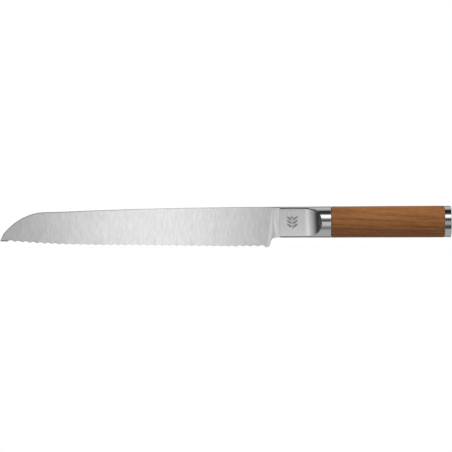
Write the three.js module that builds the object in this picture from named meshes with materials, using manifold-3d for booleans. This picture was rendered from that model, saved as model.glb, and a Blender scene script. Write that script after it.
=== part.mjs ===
// Bread knife with a round wooden handle, in millimetres.
//
// The origin is the centre of the end cap's flat rear face, on the handle's axis.
// +X runs from the blade's tip to the butt, so the whole knife lies at negative X.
// +Z runs from the cutting edge up to the spine, and +Y from the blade's left face to its right.
// "Front" is towards the tip and "rear" towards the butt.
//
// The blade is a thin wedge with a flat tang behind it. The tang passes through the bolster's
// slot into the bored handle, where a threaded rod on its end carries a washer, a disc spring
// and a nut in the handle's rear counterbore. The end cap fits over the rod's end and hides
// the nut. The gullets of the serration are ground from the right side only.

import * as THREE from 'three';
import { mergeVertices } from 'three/addons/utils/BufferGeometryUtils.js';
import Module from 'manifold-3d';

const wasm = await Module();
wasm.setup();

// ---------------------------------------------------------------- shared dimensions
const BOLSTER_FRONT = -140.8;
const BOLSTER_REAR = -98.9;
const BOLSTER_FRONT_R = 12.65;  // the spine runs flush into the bolster
const GASKET_T = 0.4;
const WOOD_FRONT = BOLSTER_REAR + GASKET_T;
const WOOD_REAR = -5.6;
const BORE_R = 7.0;
const COUNTERBORE_R = 8.0;
const COUNTERBORE_FLOOR = -17.6;

const TANG_HALF_T = 1.2;
const TANG_HALF_H = 6.0;
const TANG_REAR = -62;

const ROD_R = 3.0;
const ROD_FRONT = -70;
const ROD_REAR = -4.6;

const FIT_GAP = 0.3;            // clearance round the tang, the rod and the dowels
const ROD_HOLE_R = ROD_R + FIT_GAP;
const CUT_OVERRUN = 5;          // how far a cutter runs on past the body it cuts

// Facets round each kind of turned body
const SEGMENTS = {
  bolster: 64, wheel: 64, handle: 48, core: 32, ring: 32, coreRodHole: 24, hole: 20, tieRod: 16,
};

// ---------------------------------------------------------------- helpers
const X_AXIS = new THREE.Vector3(1, 0, 0);
const Y_AXIS = new THREE.Vector3(0, 1, 0);
const Z_AXIS = new THREE.Vector3(0, 0, 1);

// The matrix that sends the X, Y and Z axes to the three given vectors
const axesTo = (x, y, z) => new THREE.Matrix4().makeBasis(x, y, z);

function solid(geometry) {
  const bare = geometry.clone();
  bare.deleteAttribute('normal');
  bare.deleteAttribute('uv');
  const merged = mergeVertices(bare, 1e-4);
  return new wasm.Manifold(new wasm.Mesh({
    numProp: 3,
    vertProperties: new Float32Array(merged.attributes.position.array),
    triVerts: new Uint32Array(merged.index.array),
  }));
}

function geometryOf(manifold) {
  const mesh = manifold.getMesh();
  const geometry = new THREE.BufferGeometry();
  const positions = new Float32Array(mesh.vertProperties);
  geometry.setAttribute('position', new THREE.BufferAttribute(positions, 3));
  geometry.setIndex(new THREE.BufferAttribute(new Uint32Array(mesh.triVerts), 1));
  geometry.computeVertexNormals();
  return geometry;
}

// A body turned about the X axis. The profile is a list of [x, radius] that starts and ends
// on the axis, or closes on itself.
function turned(profile, segments) {
  const points = profile.map(([x, radius]) => new THREE.Vector2(radius, x));
  // LatheGeometry turns about Y, so Y goes to X
  return new THREE.LatheGeometry(points, segments).applyMatrix4(axesTo(Z_AXIS, X_AXIS, Y_AXIS));
}

const cylinder = (x0, x1, radius, segments) => (
  turned([[x0, 0], [x0, radius], [x1, radius], [x1, 0]], segments)
);

const tube = (x0, x1, inner, outer, segments) => (
  turned([[x0, inner], [x0, outer], [x1, outer], [x1, inner], [x0, inner]], segments)
);

// A prism whose outline is given in X and Y, from z0 to z1
function prism(outline, z0, z1) {
  const shape = new THREE.Shape(outline.map(([x, y]) => new THREE.Vector2(x, y)));
  const options = { depth: z1 - z0, bevelEnabled: false, curveSegments: 1 };
  return new THREE.ExtrudeGeometry(shape, options).translate(0, 0, z0);
}

// A flat plate whose outline is given in X and Z, centred on the knife's middle plane
function plate(outline, half) {
  const left = Y_AXIS.clone().negate();
  return prism(outline, -half, half).applyMatrix4(axesTo(X_AXIS, Z_AXIS, left));
}

// A box from x0 to x1, centred on the X axis
function block(x0, x1, halfY, halfZ) {
  return new THREE.BoxGeometry(x1 - x0, 2 * halfY, 2 * halfZ).translate((x0 + x1) / 2, 0, 0);
}

const reversed = (list) => [...list].reverse();

// Reads a table of [x, value] at x; ahead of the first row it extends the first slope
function along(table, x) {
  const next = table.findIndex(([rowX], row) => row > 0 && x <= rowX);
  const [x0, value0] = table[next - 1];
  const [x1, value1] = table[next];
  return value0 + (value1 - value0) * (x - x0) / (x1 - x0);
}

// The cutter for the tang's opening, with its clearance
const tangSlot = (x0, x1) => solid(block(x0, x1, TANG_HALF_T + FIT_GAP, TANG_HALF_H + FIT_GAP));

// ---------------------------------------------------------------- blade
// The half thickness is linear in x and z, so both faces are planes
const HALF_T = {
  atReference: 0.45,
  referenceX: -140.3,
  referenceZ: -20,
  perZ: 0.024,                  // growth towards the spine
  perX: 0.0014,                 // distal taper: the blade thins towards the tip
};

// The spine seen from the side, from the tip's lower corner to the bolster: [x, z]
const SPINE = [
  [-370.92, -13.99], [-369.9, -11.55], [-367.95, -8.08], [-365.95, -5.87], [-364.17, -4.05],
  [-362.4, -2.42], [-360.65, -0.95], [-359.1, 0.24], [-357.6, 1.31], [-356.1, 2.32],
  [-354.5, 3.3], [-352.85, 4.18], [-351.2, 4.98], [-349.6, 5.7], [-348.0, 6.36],
  [-346.4, 6.96], [-344.81, 7.48], [-343.16, 7.94], [-341.51, 8.32], [-339.87, 8.59],
  [-338.22, 8.79], [-334.93, 9.02], [-331.64, 9.13], [-325.05, 9.24], [-318.47, 9.45],
  [-305.29, 9.91], [-292.12, 10.38], [-278.95, 10.74], [-265.78, 11.12], [-252.61, 11.43],
  [-239.44, 11.69], [-226.28, 11.92], [-213.11, 12.13], [-199.94, 12.3], [-186.77, 12.46],
  [-173.6, 12.56], [-153.85, 12.63], [BOLSTER_FRONT, BOLSTER_FRONT_R],
];

// The line through the tooth points: [x, z]
const EDGE = [
  [-366.0, -14.98], [-358.9, -15.45], [-350.0, -16.08], [-341.0, -16.68], [-331.8, -17.18],
  [-322.5, -17.52], [-304.6, -17.96], [-286.5, -18.29], [-268.3, -18.46], [-250.0, -18.69],
  [-231.7, -18.96], [-213.8, -19.29], [-195.5, -19.63], [-177.6, -19.9], [-159.3, -20.02],
  [-150.0, -20.05],
];

// The heel's rear edge and the notch up to the ricasso's underside: [x, z]
const HEEL_TOOTH_Z = -20.35;
const HEEL = [
  [-151.0, HEEL_TOOTH_Z], [-150.3, HEEL_TOOTH_Z + 0.14], [-149.7, -19.9], [-149.35, -19.2],
  [-148.95, -17.9], [-148.5, -16.4], [-148.05, -15.1], [-147.5, -14.0], [-146.85, -13.25],
  [-146.0, -12.72], [-144.9, -12.46], [-143.6, -12.4], [BOLSTER_FRONT, -12.38],
];
const HEEL_TOOTH_FRONT = -153.4;

// The underside of the tip, from the first gullet forward: [x, z]
const TIP_UNDERSIDE = [[-362.2, -15.6], [-364.3, -14.92], [-370.35, -14.66], [-370.78, -14.5]];

// Between these places the unground blank reaches below the tooth line
const BLANK_EDGE = { front: -362, rear: -154, below: 0.33 };

const GULLET_COUNT = 35;
const GULLET_PITCH = 6.058;
const GULLET_FIRST = -362.2;
// Depth of the gullets along the blade: [x, depth]
const GULLET_DEPTH = [
  [-362, 1.12], [-334, 1.08], [-316, 0.76], [-298, 0.63], [-182, 0.63], [-166, 0.9],
  [-156, 1.08],
];
const GRIND_ANGLE = THREE.MathUtils.degToRad(20);  // between the grind and the left face
const WHEEL_WIDTH = 16;
const WHEEL_SHIFT = 2;          // the wheel's middle lies this far up its axis from the crest

// The ricasso is the unground land in front of the bolster, with a ramp up to it
const RICASSO_HALF_T = 1.25;
const RICASSO_FRONT_TOP = 12.66;
const RICASSO_FRONT_BOTTOM = -17.0;
const RICASSO_HEEL_FRONT = -148.9;  // it follows the heel's outline behind this X
const RAMP_START = -150.6;
const RAMP_END = -143.4;
const RAMP_START_HALF_T = 0.5;
const RAMP_BOTTOM = -18;
const RAMP_TOP = 13;

const TANG_OVERLAP = 3;         // the tang starts this far inside the ricasso

function halfThickness(x, z) {
  const { atReference, referenceX, referenceZ, perZ, perX } = HALF_T;
  return atReference + perZ * (z - referenceZ) + perX * (x - referenceX);
}

// The wedge before the serration is ground
function bladeBlank() {
  const edge = reversed(EDGE)
    .filter(([x]) => x < BLANK_EDGE.rear && x > BLANK_EDGE.front)
    .map(([x, z]) => [x, z - BLANK_EDGE.below]);
  const wedge = plate([
    ...SPINE, ...reversed(HEEL), [HEEL_TOOTH_FRONT, HEEL_TOOTH_Z], ...edge, ...TIP_UNDERSIDE,
  ], 1);
  // the plate's faces stand at Y = -1 and 1, so Y is scaled to the half thickness
  const points = wedge.attributes.position;
  for (let i = 0; i < points.count; i++) {
    points.setY(i, points.getY(i) * halfThickness(points.getX(i), points.getZ(i)));
  }
  return solid(wedge);
}

// One pass of a wheel that leans away from the left face and breaks through it
function gulletWheel(x) {
  const depth = along(GULLET_DEPTH, x);
  const crest = along(EDGE, x) + depth;
  const sin = Math.sin(GRIND_ANGLE);
  const cos = Math.cos(GRIND_ANGLE);
  // the radius at which neighbouring passes meet in a ridge at the tooth line
  const drop = depth * sin;
  const radius = (GULLET_PITCH * GULLET_PITCH / 4 + drop * drop) / (2 * drop);
  const wheel = new THREE.CylinderGeometry(radius, radius, WHEEL_WIDTH, SEGMENTS.wheel);
  wheel.translate(0, WHEEL_SHIFT, 0);
  wheel.rotateX(Math.PI / 2 - GRIND_ANGLE);
  wheel.translate(x, -halfThickness(x, crest) + radius * cos, crest - radius * sin);
  return solid(wheel);
}

function ricasso() {
  const side = plate([
    [RAMP_START, RICASSO_FRONT_TOP], [BOLSTER_FRONT, BOLSTER_FRONT_R],
    ...reversed(HEEL).filter(([x]) => x > RICASSO_HEEL_FRONT),
    [RAMP_START, RICASSO_FRONT_BOTTOM],
  ], RICASSO_HALF_T);
  const ramp = prism([
    [RAMP_START, -RAMP_START_HALF_T], [RAMP_END, -RICASSO_HALF_T],
    [BOLSTER_FRONT, -RICASSO_HALF_T], [BOLSTER_FRONT, RICASSO_HALF_T],
    [RAMP_END, RICASSO_HALF_T], [RAMP_START, RAMP_START_HALF_T],
  ], RAMP_BOTTOM, RAMP_TOP);
  return solid(side).intersect(solid(ramp));
}

function bladeGeometry() {
  let blade = bladeBlank();
  for (let i = 0; i < GULLET_COUNT; i++) {
    blade = blade.subtract(gulletWheel(GULLET_FIRST + i * GULLET_PITCH));
  }
  const tang = block(BOLSTER_FRONT - TANG_OVERLAP, TANG_REAR, TANG_HALF_T, TANG_HALF_H);
  return geometryOf(blade.add(ricasso()).add(solid(tang)));
}

// ---------------------------------------------------------------- dowels
const DOWEL_R = 1.5;
const DOWEL_Z = 9.6;            // above and below the axis
const DOWEL_FRONT = -104.5;
const DOWEL_REAR = -92.9;
const DOWEL_END_GAP = 0.4;
const DOWEL_OVERRUN = 2;        // of the hole cutters in the gasket and the wood

const dowelGeometry = (z) => (
  cylinder(DOWEL_FRONT, DOWEL_REAR, DOWEL_R, SEGMENTS.hole).translate(0, 0, z)
);

function cutDowelHoles(body, x0, x1) {
  for (const z of [-DOWEL_Z, DOWEL_Z]) {
    const hole = cylinder(x0, x1, DOWEL_R + FIT_GAP, SEGMENTS.hole).translate(0, 0, z);
    body = body.subtract(solid(hole));
  }
  return body;
}

// ---------------------------------------------------------------- bolster
// [x, radius]
const BOLSTER_PROFILE = [
  [BOLSTER_FRONT, BOLSTER_FRONT_R], [-122, 12.66], [-106, 12.76], [BOLSTER_REAR, 12.84],
];
const FLAT_HALF = 5.4;          // the flats stand this far from the knife's middle plane
const SCOOP_START = -120.5;
const SCOOP_R = 16.2;
const SCOOP_STEEP = THREE.MathUtils.degToRad(46);  // the arc ends in a straight slope
const SCOOP_STEPS = 12;
const SLOPE_RUN = 4.5;          // length of the straight slope along X
const SCOOP_LEAN = 0.04;        // the scoop shifts this far forward for each millimetre up
const SCOOP_CUT_Y = 22;
const SCOOP_CUT_HALF_H = 15;

// The cutter for one side: the flat, then the scoop that curves outwards to the full round
function scoopCutter(side) {
  const front = BOLSTER_FRONT - CUT_OVERRUN;
  const outline = [[front, FLAT_HALF]];
  for (let i = 0; i <= SCOOP_STEPS; i++) {
    const angle = SCOOP_STEEP * i / SCOOP_STEPS;
    outline.push([
      SCOOP_START + SCOOP_R * Math.sin(angle),
      FLAT_HALF + SCOOP_R * (1 - Math.cos(angle)),
    ]);
  }
  const [arcEndX, arcEndY] = outline[outline.length - 1];
  const rear = arcEndX + SLOPE_RUN;
  outline.push(
    [rear, arcEndY + SLOPE_RUN * Math.tan(SCOOP_STEEP)],
    [rear, SCOOP_CUT_Y],
    [front, SCOOP_CUT_Y],
  );
  const sided = outline.map(([x, y]) => [x, y * side]);
  const leaningZ = new THREE.Vector3(-SCOOP_LEAN, 0, 1);
  const cutter = prism(sided, -SCOOP_CUT_HALF_H, SCOOP_CUT_HALF_H);
  return solid(cutter.applyMatrix4(axesTo(X_AXIS, Y_AXIS, leaningZ)));
}

function bolsterGeometry() {
  const profile = [[BOLSTER_FRONT, 0], ...BOLSTER_PROFILE, [BOLSTER_REAR, 0]];
  const rear = BOLSTER_REAR + CUT_OVERRUN;
  const bolster = solid(turned(profile, SEGMENTS.bolster))
    .subtract(scoopCutter(-1))
    .subtract(scoopCutter(1))
    .subtract(tangSlot(BOLSTER_FRONT - CUT_OVERRUN, rear));
  return geometryOf(cutDowelHoles(bolster, DOWEL_FRONT - DOWEL_END_GAP, rear));
}

// ---------------------------------------------------------------- gasket, handle, adhesive
const GASKET_INNER_R = BORE_R + 0.2;
const GASKET_OUTER_R = 12.3;

// The wood's outside: [x, radius]
const WOOD_PROFILE = [
  [WOOD_FRONT, 12.35], [WOOD_FRONT + 0.5, 12.82], [-70, 12.88], [-50, 12.94], [-25, 12.99],
  [WOOD_REAR - 0.7, 13.0], [WOOD_REAR, 12.4],
];

const CORE_FRONT = WOOD_FRONT + 0.3;
const CORE_REAR = COUNTERBORE_FLOOR - 0.4;
const CORE_R = BORE_R - 0.2;

function gasketGeometry() {
  const ring = tube(BOLSTER_REAR, WOOD_FRONT, GASKET_INNER_R, GASKET_OUTER_R, SEGMENTS.handle);
  return geometryOf(
    cutDowelHoles(solid(ring), BOLSTER_REAR - DOWEL_OVERRUN, WOOD_FRONT + DOWEL_OVERRUN),
  );
}

function handleGeometry() {
  const wood = turned([
    [WOOD_FRONT, BORE_R], ...WOOD_PROFILE, [WOOD_REAR, COUNTERBORE_R],
    [COUNTERBORE_FLOOR, COUNTERBORE_R], [COUNTERBORE_FLOOR, BORE_R], [WOOD_FRONT, BORE_R],
  ], SEGMENTS.handle);
  return geometryOf(
    cutDowelHoles(solid(wood), WOOD_FRONT - DOWEL_OVERRUN, DOWEL_REAR + DOWEL_END_GAP),
  );
}

// The filling of the bore round the tang and the rod
function adhesiveGeometry() {
  const rodHole = cylinder(
    ROD_FRONT - FIT_GAP, CORE_REAR + CUT_OVERRUN, ROD_HOLE_R, SEGMENTS.coreRodHole,
  );
  return geometryOf(
    solid(cylinder(CORE_FRONT, CORE_REAR, CORE_R, SEGMENTS.core))
      .subtract(tangSlot(CORE_FRONT - CUT_OVERRUN, TANG_REAR + FIT_GAP))
      .subtract(solid(rodHole)),
  );
}

// ---------------------------------------------------------------- tie rod
const FORK_DEPTH = 8.4;
const FORK_CUT_HALF_H = 10;
const THREAD_FRONT = COUNTERBORE_FLOOR;
const THREAD_PITCH = 1.0;
const THREAD_ROOT_R = ROD_R - 0.3;
const THREAD_CREST_R = ROD_R - 0.05;
const ROD_TIP_LENGTH = 0.5;
const ROD_TIP_R = ROD_R - 0.7;

// The rod's front is forked over the tang. The thread is a row of shallow rings.
function tieRodGeometry() {
  const profile = [[ROD_FRONT, 0], [ROD_FRONT, ROD_R], [THREAD_FRONT, ROD_R]];
  for (let x = THREAD_FRONT; x < ROD_REAR - 1.5 * THREAD_PITCH; x += THREAD_PITCH) {
    profile.push([x + 0.5 * THREAD_PITCH, THREAD_ROOT_R], [x + THREAD_PITCH, THREAD_CREST_R]);
  }
  profile.push(
    [ROD_REAR - ROD_TIP_LENGTH, THREAD_ROOT_R],
    [ROD_REAR, ROD_TIP_R],
    [ROD_REAR, 0],
  );
  const fork = block(
    ROD_FRONT - CUT_OVERRUN, ROD_FRONT + FORK_DEPTH, TANG_HALF_T + FIT_GAP, FORK_CUT_HALF_H,
  );
  return geometryOf(solid(turned(profile, SEGMENTS.tieRod)).subtract(solid(fork)));
}

// ---------------------------------------------------------------- washer, spring, nut
const WASHER_R = 7.6;
const WASHER_T = 1.2;
const SPRING_FRONT = COUNTERBORE_FLOOR + WASHER_T;
const SPRING_R = 6.4;
const SPRING_T = 0.7;
const SPRING_RISE = 0.5;
const NUT_FRONT = SPRING_FRONT + SPRING_T + SPRING_RISE;
const NUT_T = 5;
const NUT_REAR = NUT_FRONT + NUT_T;
const NUT_FLAT_R = 10 / 2;      // half the width across flats
const NUT_CORNER_R = 2 * NUT_FLAT_R / Math.sqrt(3);
// The cone that takes the corners off the nut's rear: [x, radius]
const NUT_CONE = [
  [NUT_FRONT - 1, 0], [NUT_FRONT - 1, NUT_CORNER_R + 1], [NUT_REAR - 1, NUT_CORNER_R + 0.55],
  [NUT_REAR, NUT_FLAT_R - 0.1], [NUT_REAR, 0],
];

const washerGeometry = () => (
  tube(COUNTERBORE_FLOOR, SPRING_FRONT, ROD_HOLE_R, WASHER_R, SEGMENTS.ring)
);

function discSpringGeometry() {
  return turned([
    [SPRING_FRONT + SPRING_RISE, ROD_HOLE_R], [SPRING_FRONT, SPRING_R],
    [SPRING_FRONT + SPRING_T, SPRING_R], [NUT_FRONT, ROD_HOLE_R],
    [SPRING_FRONT + SPRING_RISE, ROD_HOLE_R],
  ], SEGMENTS.ring);
}

function nutGeometry() {
  const hexagon = Array.from({ length: 6 }, (_, i) => [
    NUT_CORNER_R * Math.cos(i * Math.PI / 3),
    NUT_CORNER_R * Math.sin(i * Math.PI / 3),
  ]);
  // the prism stands along Z, so Z goes to X
  const nut = prism(hexagon, NUT_FRONT, NUT_REAR).applyMatrix4(axesTo(Y_AXIS, Z_AXIS, X_AXIS));
  const hole = cylinder(
    NUT_FRONT - CUT_OVERRUN, NUT_REAR + CUT_OVERRUN, ROD_HOLE_R, SEGMENTS.hole,
  );
  return geometryOf(
    solid(nut).intersect(solid(turned(NUT_CONE, SEGMENTS.ring))).subtract(solid(hole)),
  );
}

// ---------------------------------------------------------------- end cap and its seal
const CAP_R = 12.86;
const CAP_CHAMFER = 0.2;        // at the front rim
const CAP_EASE = 0.4;           // at the rear rim, rounded in two steps
const CAP_EASE_MID = 0.12;
const CAP_BORE_END = -4.0;
const SPIGOT_R = 7.5;
const SPIGOT_FRONT = -9.6;
const GROOVE_R = 6.4;
const GROOVE_FRONT = -8.7;
const GROOVE_REAR = -6.7;
const SEAL = { radius: 7.15, sectionRadius: 0.62, sectionSegments: 8, segments: 28 };

function capSealGeometry() {
  const { radius, sectionRadius, sectionSegments, segments } = SEAL;
  // TorusGeometry lies round Z, so Z goes to X
  return new THREE.TorusGeometry(radius, sectionRadius, sectionSegments, segments)
    .applyMatrix4(axesTo(Y_AXIS, Z_AXIS, X_AXIS))
    .translate((GROOVE_FRONT + GROOVE_REAR) / 2, 0, 0);
}

function endCapGeometry() {
  return turned([
    [CAP_BORE_END, 0], [CAP_BORE_END, ROD_HOLE_R],
    [SPIGOT_FRONT, ROD_HOLE_R], [SPIGOT_FRONT, SPIGOT_R],
    [GROOVE_FRONT, SPIGOT_R], [GROOVE_FRONT, GROOVE_R],
    [GROOVE_REAR, GROOVE_R], [GROOVE_REAR, SPIGOT_R],
    [WOOD_REAR, SPIGOT_R], [WOOD_REAR, CAP_R - CAP_CHAMFER], [WOOD_REAR + CAP_CHAMFER, CAP_R],
    [-CAP_EASE, CAP_R], [-CAP_EASE_MID, CAP_R - CAP_EASE_MID], [0, CAP_R - CAP_EASE], [0, 0],
  ], SEGMENTS.handle);
}

// ---------------------------------------------------------------- materials and assembly
const LOOKS = {
  satin: { color: 0xc4c6c8, roughness: 0.42, metalness: 1.0 },
  polished: { color: 0xd4d6d8, roughness: 0.12, metalness: 1.0 },
  spring: { color: 0x8f9296, roughness: 0.4, metalness: 1.0 },
  gasket: { color: 0x2a1c14, roughness: 0.8, metalness: 0.0 },
  wood: { color: 0x8d5a38, roughness: 0.55, metalness: 0.0 },
  adhesive: { color: 0xb9a577, roughness: 0.35, metalness: 0.0 },
  seal: { color: 0x1c1c1e, roughness: 0.7, metalness: 0.0 },
};

const knife = new THREE.Group();

function piece(name, geometry, look) {
  const mesh = new THREE.Mesh(geometry, new THREE.MeshStandardMaterial(look));
  mesh.name = name;
  knife.add(mesh);
}

piece('blade', bladeGeometry(), LOOKS.satin);
piece('bolster', bolsterGeometry(), LOOKS.polished);
piece('front_gasket', gasketGeometry(), LOOKS.gasket);
piece('handle', handleGeometry(), LOOKS.wood);
piece('adhesive_core', adhesiveGeometry(), LOOKS.adhesive);
piece('dowel_upper', dowelGeometry(DOWEL_Z), LOOKS.satin);
piece('dowel_lower', dowelGeometry(-DOWEL_Z), LOOKS.satin);
piece('tie_rod', tieRodGeometry(), LOOKS.satin);
piece('load_washer', washerGeometry(), LOOKS.satin);
piece('disc_spring', discSpringGeometry(), LOOKS.spring);
piece('tang_nut', nutGeometry(), LOOKS.satin);
piece('cap_seal', capSealGeometry(), LOOKS.seal);
piece('end_cap', endCapGeometry(), LOOKS.polished);

export default knife;
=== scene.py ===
"""A bread knife: its looks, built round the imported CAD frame.

The knife lies along X, with the handle's axis on the X axis. The tip points to -X, called the
front, and the end cap's rear face lies at x = 0. The spine faces +Z and the teeth -Z. The left
side faces -Y, towards the camera. Sizes are millimetres; the scene, its lights and the material
coordinates are in metres.
"""

import math

import bmesh
import bpy
import numpy as np
from mathutils import Matrix, Vector


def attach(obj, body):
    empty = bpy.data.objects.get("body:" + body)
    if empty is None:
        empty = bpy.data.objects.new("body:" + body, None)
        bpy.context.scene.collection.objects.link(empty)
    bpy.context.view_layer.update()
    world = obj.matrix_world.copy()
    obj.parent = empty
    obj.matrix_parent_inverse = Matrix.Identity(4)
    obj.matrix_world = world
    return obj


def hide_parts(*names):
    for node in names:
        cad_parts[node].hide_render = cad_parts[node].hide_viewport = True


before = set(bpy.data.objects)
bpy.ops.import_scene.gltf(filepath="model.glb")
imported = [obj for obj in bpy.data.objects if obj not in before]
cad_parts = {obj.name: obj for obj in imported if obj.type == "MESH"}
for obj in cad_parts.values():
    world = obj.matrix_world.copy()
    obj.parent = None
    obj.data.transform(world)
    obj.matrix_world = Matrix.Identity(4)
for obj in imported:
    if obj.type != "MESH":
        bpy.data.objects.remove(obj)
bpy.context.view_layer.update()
scene = bpy.context.scene
MM = 0.001

# ---------------------------------------------------------------- main sizes
GAP = 0.3                                    # clearance round hidden parts
BOLSTER_FRONT, BOLSTER_REAR = -140.8, -98.9
WOOD_FRONT, WOOD_REAR = -98.5, -5.6
HEEL_Z = -20.35                              # the blade's lowest height
TANG_HALF_T, TANG_HALF_H, TANG_REAR = 1.2, 6.0, -62.0
BORE_R, COUNTERBORE_R, COUNTERBORE_FLOOR = 7.0, 8.0, -17.6
DOWEL_R, DOWEL_Z, DOWEL_FRONT, DOWEL_REAR = 1.5, 9.6, -104.5, -92.9
ROD_R, ROD_FRONT, ROD_REAR = 3.0, -70.0, -4.6
ROD_HOLE_R = ROD_R + GAP
WASHER_REAR, SPRING_REAR = -16.4, -15.2


# ---------------------------------------------------------------- curves and meshes
def smoothstep(start, end, x):
    t = np.clip((np.asarray(x, float) - start) / (end - start), 0.0, 1.0)
    return t * t * (3 - 2 * t)


def spline(table, x):
    """A smooth curve through a table's points that never overshoots (monotone cubic)."""
    xs, ys = table[:, 0], table[:, 1]
    step = np.diff(xs)
    secant = np.diff(ys) / step
    slope = np.zeros(len(xs))
    slope[0], slope[-1] = secant[0], secant[-1]
    before, after = secant[:-1], secant[1:]
    weight_1, weight_2 = 2 * step[1:] + step[:-1], step[1:] + 2 * step[:-1]
    with np.errstate(divide="ignore", invalid="ignore"):
        mean = (weight_1 + weight_2) / (weight_1 / before + weight_2 / after)
        slope[1:-1] = np.where(before * after > 0, mean, 0.0)
    x = np.clip(np.asarray(x, float), xs[0], xs[-1])
    i = np.clip(np.searchsorted(xs, x) - 1, 0, len(xs) - 2)
    h = xs[i + 1] - xs[i]
    t = (x - xs[i]) / h
    return ((2 * t**3 - 3 * t**2 + 1) * ys[i] + (t**3 - 2 * t**2 + t) * h * slope[i]
            + (-2 * t**3 + 3 * t**2) * ys[i + 1] + (t**3 - t**2) * h * slope[i + 1])


def face_outward(mesh):
    """Turns every face outwards if the closed mesh came out inside-out."""
    volume = 0.0
    places = np.zeros(len(mesh.vertices) * 3)
    mesh.vertices.foreach_get("co", places)
    places = places.reshape(-1, 3)
    for polygon in mesh.polygons:
        corners = places[list(polygon.vertices)]
        for i in range(1, len(corners) - 1):
            volume += np.dot(corners[0], np.cross(corners[i], corners[i + 1]))
    if volume < 0:
        mesh.flip_normals()


def mesh_object(name, verts, faces, smooth=True, face_kinds=None):
    """A closed mesh from vertices in millimetres; face_kinds are material slots."""
    mesh = bpy.data.meshes.new(name)
    places = (np.asarray(verts, float) * MM).tolist()
    mesh.from_pydata(places, [], [list(map(int, face)) for face in faces])
    mesh.validate(clean_customdata=False)
    mesh.update()
    if smooth:
        mesh.polygons.foreach_set("use_smooth", [True] * len(mesh.polygons))
    if face_kinds is not None:
        mesh.polygons.foreach_set("material_index", face_kinds)
    obj = bpy.data.objects.new(name, mesh)
    scene.collection.objects.link(obj)
    face_outward(mesh)
    return obj


def loft(rings):
    """Vertices and side faces of a skin over rings, an array (stations, around, 3)."""
    count, around, _ = rings.shape
    faces = []
    for i in range(count - 1):
        a, b = i * around, (i + 1) * around
        for j in range(around):
            k = (j + 1) % around
            faces.append((a + j, a + k, b + k, b + j))
    return rings.reshape(-1, 3).tolist(), faces


def turned(name, profile, segments):
    """A body turned about X from (x, radius) points, a loop unless both ends are on the axis."""
    verts, faces, rings = [], [], []
    for x, radius in profile:
        start = len(verts)
        if radius == 0:
            verts.append((x, 0, 0))
        else:
            for s in range(segments):
                angle = 2 * math.pi * s / segments
                verts.append((x, radius * math.cos(angle), radius * math.sin(angle)))
        rings.append(range(start, len(verts)))
    pairs = list(zip(rings, rings[1:]))
    if profile[0][1] != 0 or profile[-1][1] != 0:
        pairs.append((rings[-1], rings[0]))
    for a, b in pairs:
        for s in range(segments):
            t = (s + 1) % segments
            if len(a) == 1:
                faces.append((a[0], b[t], b[s]))
            elif len(b) == 1:
                faces.append((a[s], a[t], b[0]))
            else:
                faces.append((a[s], a[t], b[t], b[s]))
    return mesh_object(name, verts, faces)


def rounded(corners, steps):
    """A profile from (x, radius, rounding) corners, with a support point beside each rounding."""
    hold = 0.04
    profile = []
    for i, (x, radius, rounding) in enumerate(corners):
        if rounding <= 0:
            profile.append((x, radius))
            continue
        corner = np.array([x, radius])
        back = np.array(corners[i - 1][:2]) - corner
        ahead = np.array(corners[(i + 1) % len(corners)][:2]) - corner
        back_length, ahead_length = np.linalg.norm(back), np.linalg.norm(ahead)
        back, ahead = back / back_length, ahead / ahead_length
        half = math.acos(float(np.clip(np.dot(back, ahead), -1, 1))) / 2
        reach = rounding / math.tan(half)
        middle = (back + ahead) / np.linalg.norm(back + ahead)
        centre = corner + middle * (rounding / math.sin(half))
        start, end = corner + back * reach - centre, corner + ahead * reach - centre
        start_angle = math.atan2(start[1], start[0])
        turn = math.atan2(end[1], end[0]) - start_angle
        turn = (turn + math.pi) % (2 * math.pi) - math.pi
        if back_length > reach + 3 * hold:
            profile.append(tuple(corner + back * (reach + hold)))
        for t in np.linspace(0, 1, steps + 1):
            angle = start_angle + turn * t
            profile.append((centre[0] + rounding * math.cos(angle),
                            centre[1] + rounding * math.sin(angle)))
        if ahead_length > reach + 3 * hold:
            profile.append(tuple(corner + ahead * (reach + hold)))
    return [(float(x), float(radius)) for x, radius in profile]


def prism(name, front, rear, half_y, half_z):
    """A box centred on the X axis."""
    verts = [(x, a * half_y, b * half_z)
             for x in (front, rear) for a, b in ((-1, -1), (1, -1), (1, 1), (-1, 1))]
    faces = [(0, 3, 2, 1), (4, 5, 6, 7), (0, 1, 5, 4), (1, 2, 6, 5), (2, 3, 7, 6), (3, 0, 4, 7)]
    return mesh_object(name, verts, faces, smooth=False)


def cylinder(name, front, rear, radius):
    return turned(name, [(front, 0), (front, radius), (rear, radius), (rear, 0)], 40)


def cut(obj, cutter, operation="DIFFERENCE"):
    """Applies an exact boolean and removes the cutter."""
    modifier = obj.modifiers.new("cut", "BOOLEAN")
    modifier.operation, modifier.object, modifier.solver = operation, cutter, "EXACT"
    depsgraph = bpy.context.evaluated_depsgraph_get()
    result = bpy.data.meshes.new_from_object(obj.evaluated_get(depsgraph))
    # where a cutter's corner falls on an edge, the cut leaves double points and empty faces
    bm = bmesh.new()
    bm.from_mesh(result)
    bmesh.ops.remove_doubles(bm, verts=bm.verts, dist=0.001 * MM)
    bmesh.ops.dissolve_degenerate(bm, edges=bm.edges, dist=0.0005 * MM)
    bm.to_mesh(result)
    bm.free()
    obj.modifiers.clear()
    old = obj.data
    obj.data = result
    result.name = old.name + "_cut"
    bpy.data.objects.remove(cutter)


def lift(obj, height):
    obj.data.transform(Matrix.Translation((0, 0, height * MM)))


def cut_dowel_holes(obj, front, rear):
    for side in (-1, 1):
        hole = cylinder("hole", front, rear, DOWEL_R + GAP)
        lift(hole, side * DOWEL_Z)
        cut(obj, hole)


def mark_sharp(obj, degrees):
    obj.data.set_sharp_from_angle(angle=math.radians(degrees))
    return obj


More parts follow.
